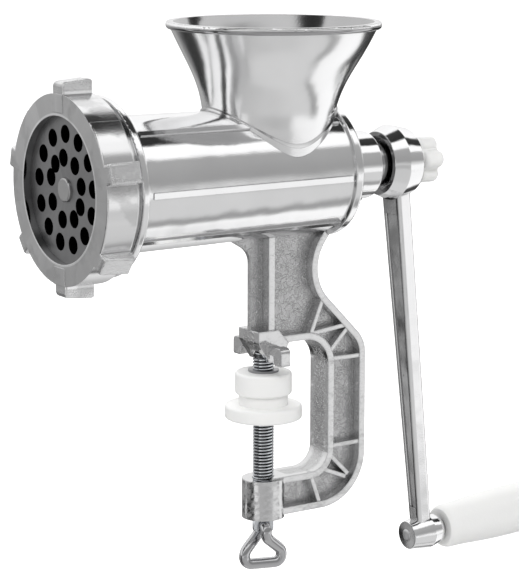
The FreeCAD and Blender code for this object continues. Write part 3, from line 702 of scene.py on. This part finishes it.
def plate_finish():
    """Faces ground in fine rings, with faint sectors of painted sheen; painted shade darkens the hole
    walls.
    """
    finish, tree, shader, place = new_finish("ground_steel_plate", PLATE_COLOUR, 1.0, PLATE_ROUGHNESS)
    rings = grouped(tree, turned_lines_and_sheen, place, Pitch=PLATE_PITCH)
    tone = times(tree, rings["Tone"], between(tree, square_on(tree), HOLE_SHADE, 1.0))
    toned(tree, shader, PLATE_COLOUR, tone)
    bumped(tree, shader, rings["Height"], PLATE_RELIEF)
    return finish


steel = steel_finish("machined_steel", STEEL_COLOUR, STEEL_ROUGHNESS)
wear("hole_plate", plate_finish())
wear("auger_stud", steel_finish("stud_steel", STUD_COLOUR, STEEL_ROUGHNESS, grain=0.8))
wear("knife", steel)
wear("plate_key", steel)


# Feed screw and its bearings
# The auger is a plain aluminium casting. It turns in a sintered sleeve and leans on a fibre washer,
# and a dark collar on its shaft keeps the crank off the bearing boss.
DARK_STEEL = (0.30, 0.30, 0.31, 1)
COLLAR_COLOUR = (0.50, 0.50, 0.505, 1)
FIBRE_COLOUR = (0.16, 0.09, 0.05, 1)
FIBRE_ROUGHNESS = 0.7
FIBRE_RELIEF = 0.05 * MM


def fibre_finish():
    """Pressed brown fibre, matt and speckled."""
    finish, tree, shader, place = new_finish("pressed_fibre", FIBRE_COLOUR, 0.0, FIBRE_ROUGHNESS)
    skin = grouped(tree, casting_skin, place, Wrinkle=0.0, Grain=1.0, Pits=0.0)
    toned(tree, shader, FIBRE_COLOUR, skin["Tone"])
    bumped(tree, shader, skin["Height"], FIBRE_RELIEF, rounding=0)
    return finish


wear("auger", cast_finish("feed_screw_casting", roughness=0.3, wave=0.3, grain=0.6, pits=0.3))
wear("rear_bush", steel_finish("sintered_sleeve", DARK_STEEL, roughness=0.45))
wear("thrust_washer", fibre_finish())
wear("shaft_collar", steel_finish("dark_collar", COLLAR_COLOUR, roughness=0.16))


# Crank
# A polished casting held on the shaft's square end by the thumb screw, with a riveted pin on
# which the plastic grip turns.
# painted shade on the crank's faces across the shaft
END_SHADE = 0.38


def painted_end_shade(tree, place):
    """Painted shade: darkens the crank's faces across the shaft."""
    return between(tree, square_on(tree), 1.0, END_SHADE)


wear("crank_arm", cast_finish(
    "crank_casting",
    roughness=0.08,
    wave=0.8,
    grain=0.3,
    pits=0.2,
    shade=painted_end_shade,
))
wear("grip_pin", steel)
wear("thumb_washer", steel)
wear("thumb_stud", steel)


# White plastic: grip, thumb knob and clamp pad
# Moulded, a little translucent, with a faint orange peel.
PLASTIC_COLOUR = (0.90, 0.90, 0.89, 1)
PLASTIC_TONE = (0.975, 1.015)
PLASTIC_ROUGHNESS = (0.33, 0.43)
PLASTIC_SCATTER = 0.15
PLASTIC_GLOW = (1.0, 1.0, 0.9)
PLASTIC_REACH = 3.0 * MM
PLASTIC_RELIEF = 0.04 * MM
PLASTIC_ROUND = 0.4 * MM
PEEL_SCALE = 900.0
SHADE_SCALE = 40.0


def plastic_finish():
    """Light goes a little way into it, and its shine is faintly uneven."""
    finish, tree, shader, place = new_finish("white_plastic", PLASTIC_COLOUR, 0.0, PLASTIC_ROUGHNESS[0])
    shader.inputs["Subsurface Weight"].default_value = PLASTIC_SCATTER
    shader.inputs["Subsurface Radius"].default_value = PLASTIC_GLOW
    shader.inputs["Subsurface Scale"].default_value = PLASTIC_REACH
    cloud = noise(tree, place, SHADE_SCALE, 3.0)
    toned(tree, shader, PLASTIC_COLOUR, between(tree, cloud, *PLASTIC_TONE))
    put(tree, shader.inputs["Roughness"], between(tree, cloud, *PLASTIC_ROUGHNESS))
    bumped(tree, shader, noise(tree, place, PEEL_SCALE), PLASTIC_RELIEF, PLASTIC_ROUND)
    return finish


plastic = plastic_finish()
wear("grip", plastic)
wear("thumb_knob", plastic)
wear("clamp_pad", plastic)


# Clamp screw, spring rings and loop
# Zinc plated steel: a rolled M10 thread along the shank, a flattened end with a cross hole, and
# a bent-wire loop hooked through it.
ZINC_COLOUR = (0.72, 0.74, 0.77, 1)
LOOP_COLOUR = (0.52, 0.52, 0.53, 1)
SCREW_CREST = 5.0 * MM
SCREW_ROOT = 4.15 * MM
SCREW_PITCH = 1.5 * MM
SCREW_BEVEL = 0.5 * MM
CORE_OVERLAP = 0.05 * MM        # the core stands into the thread's root
CORE_SINK = 1.0 * MM            # and into the flattened end
THREAD_START = -74.0 * MM
TAB_TOP = -75.0 * MM
THREAD_STEPS = 40
RIDGE_FOOT = 0.46               # half the ridge's width at root and crest, as a share of the pitch
RIDGE_TOP = 0.20
SMOOTH_ANGLE = math.radians(34)


def smooth_and_place(piece):
    """Smooth shading, and the piece's place moved into its mesh."""
    bpy.ops.object.shade_smooth_by_angle(angle=SMOOTH_ANGLE)
    bpy.ops.object.transform_apply(location=True, rotation=True, scale=True)
    return piece


def ridge(axis, origin, root, crest, pitch, start, turns):
    """Thread ridge: a trapezoid swept round an axis by a Screw modifier, and closed at its ends."""
    bpy.ops.object.select_all(action="DESELECT")
    bpy.ops.mesh.primitive_circle_add(vertices=4, radius=root, location=origin)
    piece = bpy.context.object
    corners = ((root, -RIDGE_FOOT), (crest, -RIDGE_TOP), (crest, RIDGE_TOP), (root, RIDGE_FOOT))
    for vertex, (out, share) in zip(piece.data.vertices, corners):
        along = start + share * pitch
        vertex.co = (out, 0, along) if axis == "Z" else (along, 0, out)
    sweep = piece.modifiers.new("sweep", "SCREW")
    sweep.axis = axis
    sweep.angle = 2 * math.pi
    sweep.screw_offset = pitch
    sweep.iterations = turns
    sweep.steps = THREAD_STEPS
    sweep.render_steps = THREAD_STEPS
    bpy.ops.object.modifier_apply(modifier=sweep.name)
    bpy.ops.object.mode_set(mode="EDIT")
    bpy.ops.mesh.select_all(action="SELECT")
    bpy.ops.mesh.remove_doubles(threshold=1e-6)
    bpy.ops.mesh.select_all(action="DESELECT")
    bpy.ops.mesh.select_non_manifold()
    bpy.ops.mesh.fill_holes(sides=4)
    bpy.ops.mesh.select_all(action="SELECT")
    bpy.ops.mesh.normals_make_consistent(inside=False)
    bpy.ops.object.mode_set(mode="OBJECT")
    return smooth_and_place(piece)


def screw_tab():
    """The flattened end, cut off a copy of the plain screw."""
    bpy.ops.object.select_all(action="DESELECT")
    tab = cad["clamp_screw"].copy()
    tab.data = tab.data.copy()
    tab.parent = None
    for key in list(tab.keys()):
        del tab[key]
    bpy.context.scene.collection.objects.link(tab)
    bpy.context.view_layer.objects.active = tab
    tab.select_set(True)
    tab.data.materials.clear()
    bpy.ops.object.mode_set(mode="EDIT")
    bpy.ops.mesh.select_all(action="SELECT")
    bpy.ops.mesh.remove_doubles(threshold=2e-6)
    bpy.ops.mesh.bisect(plane_co=(0, 0, TAB_TOP), plane_no=(0, 0, 1), use_fill=True, clear_outer=True)
    bpy.ops.object.mode_set(mode="OBJECT")
    return tab


def screw_core(top):
    """The shank under the thread, from inside the flattened end to the screw's tip."""
    bpy.ops.object.select_all(action="DESELECT")
    bpy.ops.mesh.primitive_cylinder_add(
        vertices=48,
        radius=SCREW_ROOT + CORE_OVERLAP,
        depth=top - TAB_TOP + CORE_SINK,
        location=(0, 0, (top + TAB_TOP - CORE_SINK) / 2),
    )
    core = bpy.context.object
    bpy.ops.object.mode_set(mode="EDIT")
    bpy.ops.mesh.bevel(offset=SCREW_BEVEL, segments=2)
    bpy.ops.object.mode_set(mode="OBJECT")
    return smooth_and_place(core)


def join(pieces, name):
    """One piece out of several, under a new name."""
    bpy.ops.object.select_all(action="DESELECT")
    for piece in pieces:
        piece.select_set(True)
    bpy.context.view_layer.objects.active = pieces[0]
    bpy.ops.object.join()
    pieces[0].name = name
    return pieces[0]


screw_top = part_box("clamp_screw")[1][2]
turns = int((screw_top - THREAD_START) / SCREW_PITCH) - 1
thread = ridge("Z", (0, 0, 0), SCREW_ROOT, SCREW_CREST, SCREW_PITCH, THREAD_START, turns)
shank = [screw_tab(), screw_core(screw_top), thread]
# painted shade darkens the thread's grooves
zinc = steel_finish("zinc_plate", ZINC_COLOUR, roughness=0.15, grooves=0.12)
for piece in shank:
    piece.data.materials.append(zinc)
screw = join(shank, "clamp_screw_threaded")
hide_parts("clamp_screw")
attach(screw, "screw")
wear("pad_clips", steel_finish("spring_steel", DARK_STEEL, STEEL_ROUGHNESS))
wear("loop_handle", steel_finish("loop_wire", LOOP_COLOUR, roughness=0.03, grain=0.0))


# Bare thread of the barrel's mouth
# The ring nut doesn't go right up to the barrel's collar, so two turns of the thread that it runs
# on show between them.
MOUTH_ROOT = 37.85 * MM
MOUTH_CREST = 38.5 * MM
MOUTH_PITCH = 1.5 * MM
MOUTH_START = -91.6 * MM
MOUTH_TURNS = 2

mouth_axis = (0, 0, BARREL_AXIS)
mouth = ridge("X", mouth_axis, MOUTH_ROOT, MOUTH_CREST, MOUTH_PITCH, MOUTH_START, MOUTH_TURNS)
mouth.name = "mouth_thread"
mouth.data.materials.append(cast_finish(
    "thread_casting",
    roughness=0.12,
    wave=0.1,
    grain=0.2,
    pits=0.0,
))
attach(mouth, "frame")
